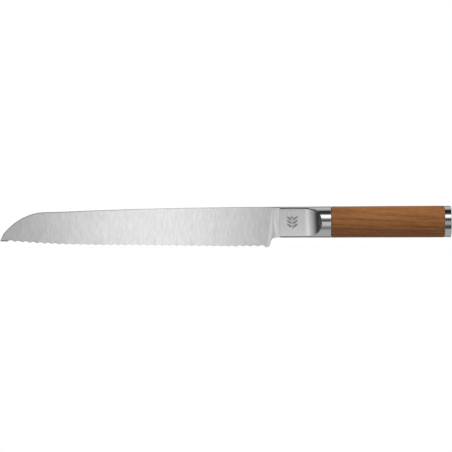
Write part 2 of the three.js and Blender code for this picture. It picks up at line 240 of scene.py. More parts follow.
# ---------------------------------------------------------------- blade
# the wedge's half thickness at x = TAPER_X, z = -20, and its growth along z and x
H_EDGE, H_PER_Z, H_PER_X, TAPER_X = 0.45, 0.024, 0.0014, -140.3
RICASSO_HALF = 1.25
# the plunge between wedge and ricasso: x of its borders at PLUNGE_Z, and how they spread below it
PLUNGE_Z, PLUNGE_FRONT, PLUNGE_REAR, FRONT_SPREAD, REAR_SPREAD = 11.75, -147.1, -146.1, 0.160, 0.178
GULLETS, PITCH, FIRST_GULLET = 35, 6.058, -362.2
GULLET_REACH = 6.5                           # how far along x a wheel pass is considered
GRIND = math.radians(20)
BEVEL_SLOPE = 0.42
CROWN_R = 0.44                               # rounding of the spine's corners
# [x, depth of the gullets]
DEPTH = np.array([
    [-362, 1.12], [-334, 1.08], [-316, 0.76], [-298, 0.63], [-182, 0.63], [-166, 0.9],
    [-156, 1.08],
])
# [x, z] along the spine
SPINE = np.array([
    [-370.92, -13.99], [-369.9, -11.55], [-367.95, -8.08], [-365.95, -5.87], [-364.17, -4.05],
    [-362.4, -2.42], [-360.65, -0.95], [-359.1, 0.24], [-357.6, 1.31], [-356.1, 2.32],
    [-354.5, 3.3], [-352.85, 4.18], [-351.2, 4.98], [-349.6, 5.7], [-348.0, 6.36],
    [-346.4, 6.96], [-344.81, 7.48], [-343.16, 7.94], [-341.51, 8.32], [-339.87, 8.59],
    [-338.22, 8.79], [-334.93, 9.02], [-331.64, 9.13], [-325.05, 9.24], [-318.47, 9.45],
    [-305.29, 9.91], [-292.12, 10.38], [-278.95, 10.74], [-265.78, 11.12], [-252.61, 11.43],
    [-239.44, 11.69], [-226.28, 11.92], [-213.11, 12.13], [-199.94, 12.3], [-186.77, 12.46],
    [-173.6, 12.56], [-153.85, 12.63], [-140.8, 12.65],
])
# [x, z] along the line the gullets' depth is measured up from
EDGE = np.array([
    [-366.0, -14.98], [-358.9, -15.45], [-350.0, -16.08], [-341.0, -16.68], [-331.8, -17.18],
    [-322.5, -17.52], [-304.6, -17.96], [-286.5, -18.29], [-268.3, -18.46], [-250.0, -18.69],
    [-231.7, -18.96], [-213.8, -19.29], [-195.5, -19.63], [-177.6, -19.9], [-159.3, -20.02],
    [-150.0, -20.05],
])
# [x, z] of the lower outline before the gullets are ground, with the heel at its rear
BASE = np.array([
    [-370.92, -14.35], [-370.78, -14.5], [-370.35, -14.66], [-364.3, -14.92], [-362.2, -15.6],
    [-358.9, -15.78], [-350.0, -16.41], [-341.0, -17.01], [-331.8, -17.51], [-322.5, -17.85],
    [-304.6, -18.29], [-286.5, -18.62], [-268.3, -18.79], [-250.0, -19.02], [-231.7, -19.29],
    [-213.8, -19.62], [-195.5, -19.96], [-177.6, -20.23], [-159.3, HEEL_Z], [-153.4, HEEL_Z],
    [-151.0, HEEL_Z], [-150.3, -20.21], [-149.7, -19.9], [-149.35, -19.2], [-148.95, -17.9],
    [-148.5, -16.4], [-148.05, -15.1], [-147.5, -14.0], [-146.85, -13.25], [-146.0, -12.72],
    [-144.9, -12.46], [-143.6, -12.4], [-140.8, -12.38],
])
# [x, height] of a narrow bevel on the left side of the edge, widest at the tip
BEVEL = np.array([
    [-371, 0.85], [-364.9, 0.75], [-362, 0.5], [-345, 0.4], [-320, 0.25], [-300, 0.16],
    [-153, 0.14], [-151, 0.05], [-147.4, 0.05], [-145.6, 0.42], [-140.8, 0.42],
])
# places of a section's points up each flank, below and above the grind's upper border
BELOW_BORDER = (0, 0.12, 0.28, 0.46, 0.64, 0.82, 1.0)
ABOVE_BORDER = (0.03, 0.08, 0.16, 0.27, 0.4, 0.54, 0.68, 0.8, 0.9, 0.96)
BORDER_ROW = len(BELOW_BORDER) - 1
FLANK_POINTS = len(BELOW_BORDER) + len(ABOVE_BORDER)
CROWN_STEPS = 5                              # over each of the crown's two corners
CROWN_POINTS = 2 * (CROWN_STEPS + 1)
SATIN, GULLET, CROWN = 0, 1, 2               # the blade's material slots


def wedge(x, z):
    return H_EDGE + H_PER_Z * (z + 20) + H_PER_X * (x - TAPER_X)


def half_thickness(x, z):
    """The wedge, the plunge that opens downwards, and the ricasso's full thickness."""
    front = PLUNGE_FRONT + (z - PLUNGE_Z) * FRONT_SPREAD
    rear = PLUNGE_REAR - (z - PLUNGE_Z) * REAR_SPREAD
    u = (x - front) / np.maximum(rear - front, 0.3)
    first_step = smoothstep(0.0, 0.42, u)
    upper = 0.5 * (first_step + smoothstep(0.58, 1.0, u))
    # low down the rear step is drawn out
    lower = 0.5 * (first_step + smoothstep(0.5, 2.2, u))
    blend = lower + (upper - lower) * smoothstep(-8.0, -1.0, z)
    thin = wedge(x, z)
    return thin + (RICASSO_HALF - thin) * blend


def blade_stations():
    """Stations along x: dense at the tip, at every gullet and round the heel."""
    xs = {round(float(SPINE[0, 0] + 6.3 * t**2.2), 4) for t in np.linspace(0, 1, 34)}
    for gullet in range(GULLETS):
        centre = FIRST_GULLET + gullet * PITCH
        xs |= {round(centre + PITCH * float(f), 4) for f in np.linspace(-0.5, 0.5, 15)}
    xs |= {round(float(x), 4) for x in np.arange(-153.0, -143.0, 0.16)}
    xs |= {-370.85, -370.78, -370.6, -370.35, -142.6, -141.9, -141.2, -140.95, BOLSTER_FRONT}
    xs = sorted(xs)
    kept = [xs[0]]
    for x in xs[1:]:
        if x - kept[-1] > 0.02 or x == xs[-1]:
            kept.append(x)
    return np.array(kept)


class BladeSections:
    """The blade's cross-sections, with the gullets ground into the right side by a wheel."""

    def __init__(self, xs):
        self.xs = xs
        self.top = spline(SPINE, xs)
        base = np.interp(xs, BASE[:, 0], BASE[:, 1])
        centres = FIRST_GULLET + PITCH * np.arange(GULLETS)
        depth = np.interp(centres, DEPTH[:, 0], DEPTH[:, 1])
        self.crest = np.interp(centres, EDGE[:, 0], EDGE[:, 1]) + depth
        self.crest_half = wedge(centres, self.crest)
        # neighbouring passes of the wheel meet in a ridge at the tooth line
        drop = depth * math.sin(GRIND)
        wheel = (PITCH**2 / 4 + drop**2) / (2 * drop)
        away = np.abs(xs[:, None] - centres[None, :])
        dx = np.minimum(away, 0.98 * wheel[None, :])
        self.fall = wheel[None, :] - np.sqrt(wheel[None, :]**2 - dx**2)
        self.near = away < GULLET_REACH
        floors = self.crest[None, :] - self.fall / math.sin(GRIND)
        cut_z = np.where(self.near, floors, -1e3).max(1)
        self.ground = cut_z > base - 1e-9
        self.bevel = np.interp(xs, BEVEL[:, 0], BEVEL[:, 1])
        # where the grind meets the bevel instead of the left face, the edge lies a little higher
        raised = BEVEL_SLOPE * self.bevel / (math.tan(GRIND) + BEVEL_SLOPE)
        self.lift = np.where(self.ground, raised, 0.0)
        self.bottom = np.maximum(base, cut_z) + self.lift

    def right_face(self, i, z):
        """Half thickness on the right side at station i, after the wheel."""
        wheel_y = (-self.crest_half + math.tan(GRIND) * (z - self.crest)
                   + self.fall[i] / math.cos(GRIND))
        return min(half_thickness(self.xs[i], z), np.where(self.near[i], wheel_y, 1e3).min())

    def left_face(self, i, z):
        """Half thickness on the left side at station i, after the bevel."""
        low = self.bottom[i] - self.lift[i]
        bevel_cut = BEVEL_SLOPE * max(0.0, low + self.bevel[i] - z)
        return float(half_thickness(self.xs[i], z)) - bevel_cut

    def border(self, i):
        """Height at which the highest wheel pass leaves the right face at station i."""
        tan, cos = math.tan(GRIND), math.cos(GRIND)
        best = self.bottom[i]
        for k in np.nonzero(self.near[i])[0]:
            reach = (wedge(self.xs[i], 0) + self.crest_half[k] + tan * self.crest[k]
                     - self.fall[i, k] / cos)
            best = max(best, reach / (tan - H_PER_Z))
        return best

    def ring(self, i):
        """Up the right flank, over the spine and down the left flank."""
        x, low = self.xs[i], self.bottom[i]
        high = max(self.top[i], low + 0.3)
        border = min(max(self.border(i), low + 0.05), high - 0.2)
        radius = min(CROWN_R, float(half_thickness(x, high)) * 0.6, (high - low) * 0.2)
        shoulder = high - radius
        ring = []
        heights = [low + (border - low) * f for f in BELOW_BORDER]
        heights += [border + (shoulder - border) * f for f in ABOVE_BORDER]
        for z in heights:
            y = self.right_face(i, z)
            if self.ground[i]:
                y = max(y, -self.left_face(i, z) + 0.03)
            ring.append((x, y, z))
        inner = float(half_thickness(x, shoulder)) - radius
        arc = []
        for s in range(CROWN_STEPS + 1):
            angle = math.pi / 2 * s / CROWN_STEPS
            arc.append((inner + radius * math.cos(angle), shoulder + radius * math.sin(angle)))
        ring += [(x, y, z) for y, z in arc]
        ring += [(x, -y, z) for y, z in reversed(arc)]
        # the bevel's upper border is held by two close points
        knee = max(low + 0.02, low - self.lift[i] + self.bevel[i])
        knee = min(knee, low + (shoulder - low) * 0.6)
        last = shoulder - min(0.32, 0.1 * (shoulder - knee))
        start = knee + 0.012
        left = [low, knee - 0.012, start]
        left += [start + (last - start) * f for f in np.linspace(0, 1, FLANK_POINTS - 2)[1:]]
        ring += [(x, -self.left_face(i, z), z) for z in reversed(left)]
        return ring


def tang_ring(source, x, half_t, half_h):
    """A rectangular section with the same number of points as the blade's last ring."""
    low, high = source[0][2], max(point[2] for point in source)
    ring = []
    for j, (_, source_y, source_z) in enumerate(source):
        f = (source_z - low) / (high - low)
        sign = 1 if j < len(source) // 2 else -1
        # keep the crown's points on the tang's flat top
        if abs(source_y) > RICASSO_HALF - 0.3:
            y = sign * half_t
        else:
            y = source_y / (RICASSO_HALF - 0.28) * half_t
        ring.append((x, max(-half_t, min(half_t, y)), -half_h + 2 * half_h * f))
    return ring


def crease_blade(mesh, sections, around, rings_count):
    """Creases: the lower corners, the grind's upper border, the gullets' ridges and the ends."""
    blade_count = len(sections.xs)
    ends = np.zeros(len(mesh.edges) * 2, int)
    mesh.edges.foreach_get("vertices", ends)
    ends = ends.reshape(-1, 2)
    station, row = ends // around, ends % around
    same_row = row[:, 0] == row[:, 1]
    same_station = station[:, 0] == station[:, 1]
    first_row, first_station = row[:, 0], station[:, 0]
    ground = np.zeros(rings_count, bool)
    ground[:blade_count] = sections.ground
    # ridges lie midway between two gullets
    phase = (sections.xs - FIRST_GULLET) / PITCH
    ridge = np.zeros(rings_count, bool)
    ridge[:blade_count] = sections.ground & (np.abs(phase - np.floor(phase) - 0.5) < 0.01)

    sharp = same_row & ((first_row == 0) | (first_row == around - 1))
    sharp |= (same_row & (first_row == BORDER_ROW)
              & ground[first_station] & ground[station[:, 1]])
    sharp |= same_station & ridge[first_station] & (row.max(1) <= BORDER_ROW)
    sharp |= same_station & ((first_station >= blade_count - 1) | (first_station == 0))
    attribute = (mesh.attributes.get("sharp_edge")
                 or mesh.attributes.new("sharp_edge", "BOOLEAN", "EDGE"))
    attribute.data.foreach_set("value", sharp)
    mesh.update()


def make_blade():
    sections = BladeSections(blade_stations())
    blade_count = len(sections.xs)
    rings = [sections.ring(i) for i in range(blade_count)]
    last = rings[-1]
    # shoulder and tang, with a chamfer at the tang's rear
    for x, inset_t, inset_h in ((BOLSTER_FRONT, 0, 0), (-100.0, 0, 0), (TANG_REAR - 0.5, 0, 0),
                                (TANG_REAR, 0.3, 0.5)):
        rings.append(tang_ring(last, x, TANG_HALF_T - inset_t, TANG_HALF_H - inset_h))
    rings = np.array(rings, float)
    verts, faces = loft(rings)
    count, around, _ = rings.shape

    ground = sections.ground
    kinds = []
    for i in range(count - 1):
        for j in range(around):
            kind = SATIN
            if i < blade_count - 1:
                on_crown = FLANK_POINTS <= j < FLANK_POINTS + CROWN_POINTS
                if on_crown or j >= around - 3:
                    kind = CROWN
                elif j < BORDER_ROW and ground[i] and ground[i + 1]:
                    kind = GULLET
            kinds.append(kind)
    # the ends are closed by strips across from the right side to the left
    for end in (0, count - 1):
        start = end * around
        for j in range(around // 2 - 1):
            opposite = start + around - 1 - j
            strip = (start + j, start + j + 1, opposite - 1, opposite)
            faces.append(strip[::-1] if end == 0 else strip)
            kinds.append(SATIN)
    blade = mesh_object("blade_visual", verts, faces, face_kinds=kinds)
    crease_blade(blade.data, sections, around, count)
    return blade


# ---------------------------------------------------------------- bolster
# [x, radius]
BOLSTER_PROFILE = np.array([[-140.8, 12.65], [-122, 12.66], [-106, 12.76], [-98.9, 12.84]])
FLAT_HALF = 5.4                              # from the middle plane to each side flat
# the scoop's start, arc radius, steepest angle in degrees, sideways lean, and ease-in length
SCOOP_START, SCOOP_R, SCOOP_STEEP, SCOOP_LEAN, SCOOP_EASE = -120.5, 16.2, 45.0, 0.04, 1.5
RIM_SOFTNESS = 0.10
# share of the edge's width, and share of the turn from flat to round reached there
EDGE_WIDTH = [0, 0.05, 0.12, 0.64, 0.77, 0.89, 1.0]
EDGE_TURN = [0, 0.2, 0.44, 0.60, 0.74, 0.9, 1.0]
FLAT_STEPS, EDGE_STEPS, ROUND_STEPS = 9, 14, 16


def scoop(s):
    """Depth and slope a distance s behind the scoop's start: eased in, an arc, then straight."""
    root = math.sqrt(s * s + SCOOP_EASE**2)
    run, run_rate = 0.5 * (s + root), 0.5 * (1 + s / root)
    steep = math.radians(SCOOP_STEEP)
    arc_end = SCOOP_R * math.sin(steep)
    if run < arc_end:
        leg = math.sqrt(SCOOP_R**2 - run * run)
        return SCOOP_R - leg, run_rate * run / leg
    depth = SCOOP_R * (1 - math.cos(steep)) + (run - arc_end) * math.tan(steep)
    return depth, run_rate * math.tan(steep)


def half_section(sign, radius, flat, dip, extra, inset):
    """(y, z) from the right side's middle up (sign 1) or down (-1) to the middle plane.

    The chamfer turns by extra degrees past the flat's corner; the half is then leaned by dip.
    """
    corner = math.acos(min(1.0, flat / radius))
    top = min(corner + math.radians(extra), math.pi / 2 - 0.02)
    if corner < 0.02:
        top = max(top, 0.03)
    # the edge curve, summed from the flat to the round
    u = np.linspace(0, 1, 41)
    between = (u[1:] + u[:-1]) / 2
    angles = top * np.interp(between, EDGE_WIDTH, EDGE_TURN)
    across = np.concatenate([[0], np.cumsum(np.sin(angles)) / len(between)])
    along = np.concatenate([[0], np.cumsum(np.cos(angles)) / len(between)])
    length = (flat - radius * math.cos(top)) / max(across[-1], 1e-9)
    flat_end = radius * math.sin(top) - length * along[-1]
    if flat_end < 0.0:
        length = max(0.0, min(length, radius * math.sin(top) / along[-1]))
        flat_end = radius * math.sin(top) - length * along[-1]
    pick = np.linspace(0, 1, EDGE_STEPS + 1)
    edge_y = np.interp(pick, u, flat - length * across)
    edge_z = np.interp(pick, u, flat_end + length * along)
    # make the end meet the round exactly
    edge_y += (radius * math.cos(top) - edge_y[-1]) * pick
    points = [(flat, flat_end * f) for f in np.linspace(0, 1, FLAT_STEPS + 1)]
    points += list(zip(edge_y[1:], edge_z[1:]))
    points += [(radius * math.cos(a), radius * math.sin(a))
               for a in np.linspace(top, math.pi / 2 + sign * dip, ROUND_STEPS + 1)[1:]]
    points = np.array(points) * (1 - inset / radius)
    points[:, 1] *= sign
    y, z = points[:, 0], points[:, 1]
    c, s = math.cos(dip), math.sin(dip)
    return np.stack([y * c + z * s, -y * s + z * c], 1)


def bolster_ring(x, inset):
    radius = float(np.interp(x, BOLSTER_PROFILE[:, 0], BOLSTER_PROFILE[:, 1]))
    depth, slope = scoop(x - SCOOP_START)
    # the side is a straight line that dips; the section is built upright, then leaned by it
    dip = math.atan(SCOOP_LEAN * slope)
    flat = (FLAT_HALF + depth) * math.cos(dip)
    # a fine radius breaks the rim where the scoop runs out into the round
    left_over = radius - flat
    flat = radius - 0.5 * (left_over + math.sqrt(left_over * left_over + RIM_SOFTNESS**2))
    flat = min(flat, radius - 1e-4)
    if x > -105.3:
        flat = radius - 1e-4
    # degrees of chamfer: wider at both ends of the flat, and along the scoop's upper rim
    wider = float(1 - smoothstep(-140.8, -132.0, x) + smoothstep(-128.0, -119.0, x))
    rim = ((1 + 0.35 * float(smoothstep(-120.5, -114.0, x)))
           * (1 - 0.9 * float(smoothstep(-112.0, -106.5, x))))
    upper_extra = (5.8 + 1.0 * wider) * rim
    lower_extra = 0.9 * (1 - 0.75 * float(smoothstep(SCOOP_START, -106.5, x)))
    upper = half_section(1, radius, flat, dip, upper_extra, inset)
    lower = half_section(-1, radius, flat, dip, lower_extra, inset)
    upper[-1, 0] = lower[-1, 0] = 0.0
    ring = [(x, y, z) for y, z in upper]
    ring += [(x, -y, z) for y, z in upper[::-1][1:]]
    ring += [(x, -y, z) for y, z in lower[1:]]
    ring += [(x, y, z) for y, z in lower[::-1][1:-1]]
    return ring


def make_bolster():
    xs = [BOLSTER_FRONT + step for step in (0, 0.03, 0.09, 0.18, 0.3)]
    xs += list(np.linspace(BOLSTER_FRONT + 1.0, SCOOP_START - 4.5, 12))
    xs += list(np.linspace(SCOOP_START - 4.0, -108.2, 56))
    xs += list(np.linspace(-108.0, -105.4, 34))
    xs += list(np.linspace(-105.2, BOLSTER_REAR - 0.25, 8))
    xs += [BOLSTER_REAR - step for step in (0.18, 0.1, 0.04, 0)]
    # the end corners are rounded by insets at the first and last four stations
    insets = [0.3, 0.17, 0.08, 0.02] + [0.0] * (len(xs) - 8) + [0.0, 0.02, 0.08, 0.18]
    rings = np.array([bolster_ring(x, inset) for x, inset in zip(xs, insets)], float)
    verts, faces = loft(rings)
    count, around, _ = rings.shape
    # material slot 1 is the flats and scoops, slot 0 the rest
    half_around = around // 2
    kinds = []
    for i in range(count - 1):
        middle_x = (rings[i, 0, 0] + rings[i + 1, 0, 0]) / 2
        for j in range(around):
            from_flat = min(j % half_around, half_around - 1 - j % half_around)
            on_flat = from_flat < FLAT_STEPS + 1
            kinds.append(int(on_flat and BOLSTER_FRONT + 0.3 < middle_x < -106.2))
    for end in (0, count - 1):
        centre, start = len(verts), end * around
        verts.append((xs[end], 0.0, 0.0))
        for j in range(around):
            a, b = start + j, start + (j + 1) % around
            faces.append((centre, b, a) if end == 0 else (centre, a, b))
            kinds.append(0)
    bolster = mesh_object("bolster_visual", verts, faces, face_kinds=kinds)
    cut(bolster, prism("slot", -150.0, -90.0, TANG_HALF_T + GAP, TANG_HALF_H + GAP))
    cut_dowel_holes(bolster, -104.9, -90.0)
    return mark_sharp(bolster, 32)


# ---------------------------------------------------------------- gasket, handle and end cap
GASKET_R = 12.4
# (x, radius, rounding) along the outside of the wood
WOOD_PROFILE = [
    (WOOD_FRONT, 12.84, 0.55), (-85, 12.84, 0), (-78, 12.86, 0), (-70, 12.88, 0),
    (-60, 12.91, 0), (-50, 12.94, 0), (-38, 12.97, 0), (-25, 12.99, 0), (-14, 13.0, 0),
    (WOOD_REAR, 13.0, 0.75),
]
CAP_R, CAP_BORE_END = 12.86, -4.0
SPIGOT_R, SPIGOT_FRONT = 7.5, -9.6
GROOVE_R, GROOVE_FRONT, GROOVE_REAR = 6.4, -8.7, -6.7


def make_gasket():
    corners = [(BOLSTER_REAR, BORE_R + 0.2, 0), (BOLSTER_REAR, GASKET_R, 0.1),
               (WOOD_FRONT, GASKET_R, 0.1), (WOOD_FRONT, BORE_R + 0.2, 0)]
    gasket = turned("front_gasket_visual", rounded(corners, 3), 128)
    cut_dowel_holes(gasket, -105.0, -90.0)
    return mark_sharp(gasket, 40)


def make_handle():
    corners = [(WOOD_FRONT, BORE_R, 0.3)] + WOOD_PROFILE + [
        (WOOD_REAR, COUNTERBORE_R, 0.3), (COUNTERBORE_FLOOR, COUNTERBORE_R, 0),
        (COUNTERBORE_FLOOR, BORE_R, 0)]
    handle = turned("handle_visual", rounded(corners, 8), 160)
    cut_dowel_holes(handle, -110.0, -92.5)
    return mark_sharp(handle, 40)


def make_end_cap():
    corners = [
        (CAP_BORE_END, 0.0, 0), (CAP_BORE_END, ROD_HOLE_R, 0), (SPIGOT_FRONT, ROD_HOLE_R, 0.2),
        (SPIGOT_FRONT, SPIGOT_R, 0.3), (GROOVE_FRONT, SPIGOT_R, 0), (GROOVE_FRONT, GROOVE_R, 0),
        (GROOVE_REAR, GROOVE_R, 0), (GROOVE_REAR, SPIGOT_R, 0), (WOOD_REAR, SPIGOT_R, 0),
        (WOOD_REAR, CAP_R, 0.12), (0.0, CAP_R, 0.42), (0.0, 0.0, 0)]
    return mark_sharp(turned("end_cap_visual", rounded(corners, 6), 160), 32)


# ---------------------------------------------------------------- parts inside the handle
THREAD_PITCH, THREAD_DEPTH, THREAD_FLOOR = 1.0, 0.34, 0.3
THREAD_FRONT = COUNTERBORE_FLOOR
ROD_SEGMENTS = 36
FORK_END = -61.6
NUT_LENGTH, NUT_FLATS = 5.0, 10.0
SEAL_R, SEAL_CORD_R = 7.15, 0.62
SEAL_X = (GROOVE_FRONT + GROOVE_REAR) / 2
# (x, radius)
CORE_PROFILE = [(-98.2, 0), (-98.2, 6.6), (-98.0, 6.8), (-18.2, 6.8), (-18.0, 6.6), (-18.0, 0)]


def make_dowel(name, side):
    corners = [(DOWEL_FRONT, 0.0, 0), (DOWEL_FRONT, DOWEL_R, 0.25),
               (DOWEL_REAR, DOWEL_R, 0.25), (DOWEL_REAR, 0.0, 0)]
    dowel = turned(name, rounded(corners, 4), 48)
    lift(dowel, side * DOWEL_Z)
    return mark_sharp(dowel, 30)


def rod_radius(x, turn):
    """Radius at x and at a share of a turn round the rod, with its end chamfers and thread."""
    if x == ROD_FRONT:
        return ROD_R - 0.25
    if x >= ROD_REAR - 0.5:
        return ROD_R - THREAD_DEPTH - (x - (ROD_REAR - 0.5)) * 0.7
    if x < THREAD_FRONT - 1.0:
        return ROD_R
    phase = (x / THREAD_PITCH - turn) % 1.0
    fade_in = float(smoothstep(THREAD_FRONT - 1.0, THREAD_FRONT + 0.6, x))
    return ROD_R - min(THREAD_DEPTH * (1 - abs(2 * phase - 1)) * fade_in, THREAD_FLOOR)


def make_tie_rod():
    """A rod, threaded at the rear, with a fork at the front that straddles the tang."""
    xs = [ROD_FRONT, ROD_FRONT + 0.3]
    xs += list(np.linspace(ROD_FRONT + 3, THREAD_FRONT - 1.2, 12))
    xs += list(np.arange(THREAD_FRONT - 1.0, ROD_REAR - 0.6, THREAD_PITCH / 10))
    xs += [ROD_REAR - 0.5, ROD_REAR - 0.25, ROD_REAR]
    rings = []
    for x in xs:
        ring = []
        for s in range(ROD_SEGMENTS):
            angle = 2 * math.pi * s / ROD_SEGMENTS
            radius = rod_radius(x, s / ROD_SEGMENTS)
            ring.append((x, radius * math.cos(angle), radius * math.sin(angle)))
        rings.append(ring)
    verts, faces = loft(np.array(rings, float))
    faces.append(tuple(range(ROD_SEGMENTS - 1, -1, -1)))
    faces.append(tuple(range(len(verts) - ROD_SEGMENTS, len(verts))))
    rod = mesh_object("tie_rod_visual", verts, faces)
    cut(rod, prism("fork", -80.0, FORK_END, TANG_HALF_T + GAP, 10.0))
    return mark_sharp(rod, 35)


def make_washer():
    corners = [(COUNTERBORE_FLOOR, ROD_HOLE_R, 0.12), (COUNTERBORE_FLOOR, 7.6, 0.2),
               (WASHER_REAR, 7.6, 0.2), (WASHER_REAR, ROD_HOLE_R, 0.12)]
    return mark_sharp(turned("load_washer_visual", rounded(corners, 4), 96), 30)


def make_spring():
    """A coned washer."""
    corners = [(-15.9, ROD_HOLE_R, 0.1), (WASHER_REAR, 6.4, 0.15), (-15.7, 6.4, 0.15),
               (SPRING_REAR, ROD_HOLE_R, 0.1)]
    return mark_sharp(turned("disc_spring_visual", rounded(corners, 4), 96), 30)


def make_nut():
    """A hexagon nut with coned corners and a countersunk plain bore."""
    front, rear = SPRING_REAR, SPRING_REAR + NUT_LENGTH
    corner_r = NUT_FLATS / math.sqrt(3)
    hexagon = [(corner_r * math.cos(i * math.pi / 3), corner_r * math.sin(i * math.pi / 3))
               for i in range(6)]
    verts = [(x, y, z) for x in (front, rear) for y, z in hexagon]
    faces = [tuple(range(5, -1, -1)), tuple(range(6, 12))]
    faces += [(i, (i + 1) % 6, 6 + (i + 1) % 6, 6 + i) for i in range(6)]
    nut = mesh_object("tang_nut_visual", verts, faces)
    rim_r = NUT_FLATS / 2 - 0.05
    # two of the cone's rings coincide in the nut's front plane
    cone = turned("cone", [
        (front - 1, 0), (front - 1, corner_r), (front, rim_r), (front, rim_r),
        (front + 0.45, corner_r + 0.02), (rear - 0.5, corner_r + 0.02), (rear, rim_r),
        (rear + 1, rim_r), (rear + 1, 0)], 72)
    cut(nut, cone, "INTERSECT")
    bore = turned("bore", [
        (front - 2, 0), (front - 2, 5.3), (front + 0.4, ROD_HOLE_R), (rear - 0.4, ROD_HOLE_R),
        (rear + 2, 5.3), (rear + 2, 0)], 48)
    cut(nut, bore)
    return mark_sharp(nut, 25)


def make_seal():
    """A round-section ring in the end cap's groove."""
    segments, around = 96, 28
    verts, faces = [], []
    for i in range(segments):
        a = 2 * math.pi * i / segments
        for j in range(around):
            b = 2 * math.pi * j / around
            radius = SEAL_R + SEAL_CORD_R * math.cos(b)
            verts.append((SEAL_X + SEAL_CORD_R * math.sin(b),
                          radius * math.cos(a), radius * math.sin(a)))
    for i in range(segments):
        here, there = i * around, (i + 1) % segments * around
        for j in range(around):
            k = (j + 1) % around
            faces.append((here + j, there + j, there + k, here + k))
    return mesh_object("cap_seal_visual", verts, faces)


def make_core():
    """The adhesive that fills the bore, with room for the tang and the rod."""
    core = turned("adhesive_core_visual", CORE_PROFILE, 72)
    cut(core, prism("tang_room", -120.0, TANG_REAR + GAP, TANG_HALF_T + GAP, TANG_HALF_H + GAP))
    cut(core, cylinder("rod_room", ROD_FRONT - GAP, -10.0, ROD_HOLE_R))
    return mark_sharp(core, 30)


# ---------------------------------------------------------------- ear of wheat on the left flat
MARK_X, MARK_Z = -130.7, -0.3
MARK_PROUD, MARK_SUNK = 0.012, 0.03          # outwards and inwards of the flat


def grain(x, z, length, width, angle):
    """An egg-shaped outline round (x, z), its blunt end at the lower end of its length."""
    outline = []
    for i in range(20):
        a = 2 * math.pi * i / 20
        u = math.cos(a) * length / 2
        w = math.sin(a) * (1 - 0.30 * math.cos(a)) * width / 2
        outline.append((x + u * math.cos(angle) - w * math.sin(angle),
                        z + u * math.sin(angle) + w * math.cos(angle)))
    return outline


def stem():
    """A slightly bent stem that narrows upwards."""
    front, rear = [], []
    for i in range(15):
        t = i / 14
        z = MARK_Z - 5.4 + t * 8.0
        x = MARK_X + 0.5 * (1 - t) ** 2
        half_width = 0.32 - 0.10 * t
        front.append((x - half_width, z))
        rear.append((x + half_width, z))
    return rear + front[::-1]


def make_wheat_mark():
    """A stem, three pairs of grains and a top grain, as thin islands on the flat."""
    outlines = []
    for z in (-3.7, -0.75, 2.2):
        for side in (-1, 1):
            outlines.append(grain(MARK_X + side * 2.6, MARK_Z + z + 1.35, length=4.9, width=1.9,
                                  angle=math.pi / 2 - side * math.radians(54)))
    outlines.append(grain(MARK_X, MARK_Z + 4.5, length=2.7, width=1.5, angle=math.pi / 2))
    outlines.append(stem())
    verts, faces = [], []
    for outline in outlines:
        o, n = len(verts), len(outline)
        for y in (-FLAT_HALF - MARK_PROUD, -FLAT_HALF + MARK_SUNK):
            verts += [(x, y, z) for x, z in outline]
        faces.append(tuple(range(o, o + n)))
        faces.append(tuple(range(o + 2 * n - 1, o + n - 1, -1)))
        faces += [(o + (i + 1) % n, o + i, o + n + i, o + n + (i + 1) % n) for i in range(n)]
    return mesh_object("wheat_mark", verts, faces, smooth=False)


# ---------------------------------------------------------------- node helpers
class Nodes:
    """A short way to write a node tree. Values may be numbers, colours or sockets."""

    def __init__(self, tree):
        self.tree = tree
        tree.nodes.clear()

    def put(self, socket, value):
        if isinstance(value, bpy.types.NodeSocket):
            self.tree.links.new(value, socket)
        else:
            socket.default_value = value

    def add(self, kind, inputs=None, **settings):
        """A node; inputs are keyed by name or by number."""
        node = self.tree.nodes.new(kind)
        for key, value in settings.items():
            setattr(node, key, value)
        for key, value in (inputs or {}).items():
            self.put(node.inputs[key], value)
        return node

    def math(self, operation, *values):
        inputs = dict(enumerate(values))
        return self.add("ShaderNodeMath", inputs, operation=operation).outputs[0]

    def plus(self, a, b):
        return self.math("ADD", a, b)

    def times(self, a, b):
        return self.math("MULTIPLY", a, b)

    def centred(self, value, swing):
        """A 0 to 1 value moved to lie round zero, then scaled by swing."""
        return self.times(self.math("SUBTRACT", value, 0.5), swing)

    def vary(self, middle, value, swing):
        return self.plus(middle, self.centred(value, swing))

    def add_scaled(self, start, value, by):
        return self.plus(start, self.times(value, by))

    def remap(self, value, span, to, smooth=False):
        """Carries the span onto the pair in to, clamped outside it."""
        kind = "SMOOTHSTEP" if smooth else "LINEAR"
        return self.add("ShaderNodeMapRange", dict(enumerate((value, *span, *to))),
                        interpolation_type=kind, clamp=True).outputs[0]

    def xyz(self, vector):
        return self.add("ShaderNodeSeparateXYZ", {0: vector}).outputs

    def vector(self, x, y, z):
        return self.add("ShaderNodeCombineXYZ", {0: x, 1: y, 2: z}).outputs[0]

    def colour(self, red, green, blue):
        return self.add("ShaderNodeCombineColor", {0: red, 1: green, 2: blue}).outputs[0]

    def grey(self, value):
        return self.colour(value, value, value)

    def ramp(self, factor, stops):
        """stops: (position, (red, green, blue))."""
        node = self.tree.nodes.new("ShaderNodeValToRGB")
        elements = node.color_ramp.elements
        while len(elements) > 1:
            elements.remove(elements[-1])
        for i, (position, colour) in enumerate(stops):
            element = elements[0] if i == 0 else elements.new(position)
            element.position = position
            element.color = (*colour, 1.0)
        self.put(node.inputs[0], factor)
        return node.outputs[0]

    def grey_ramp(self, factor, stops):
        """stops: (position, brightness)."""
        return self.ramp(factor, [(position, (value,) * 3) for position, value in stops])

    def mix(self, factor, a, b, blend="MIX"):
        return self.add("ShaderNodeMix", {0: factor, 6: a, 7: b}, data_type="RGBA",
                        blend_type=blend, clamp_factor=True).outputs[2]


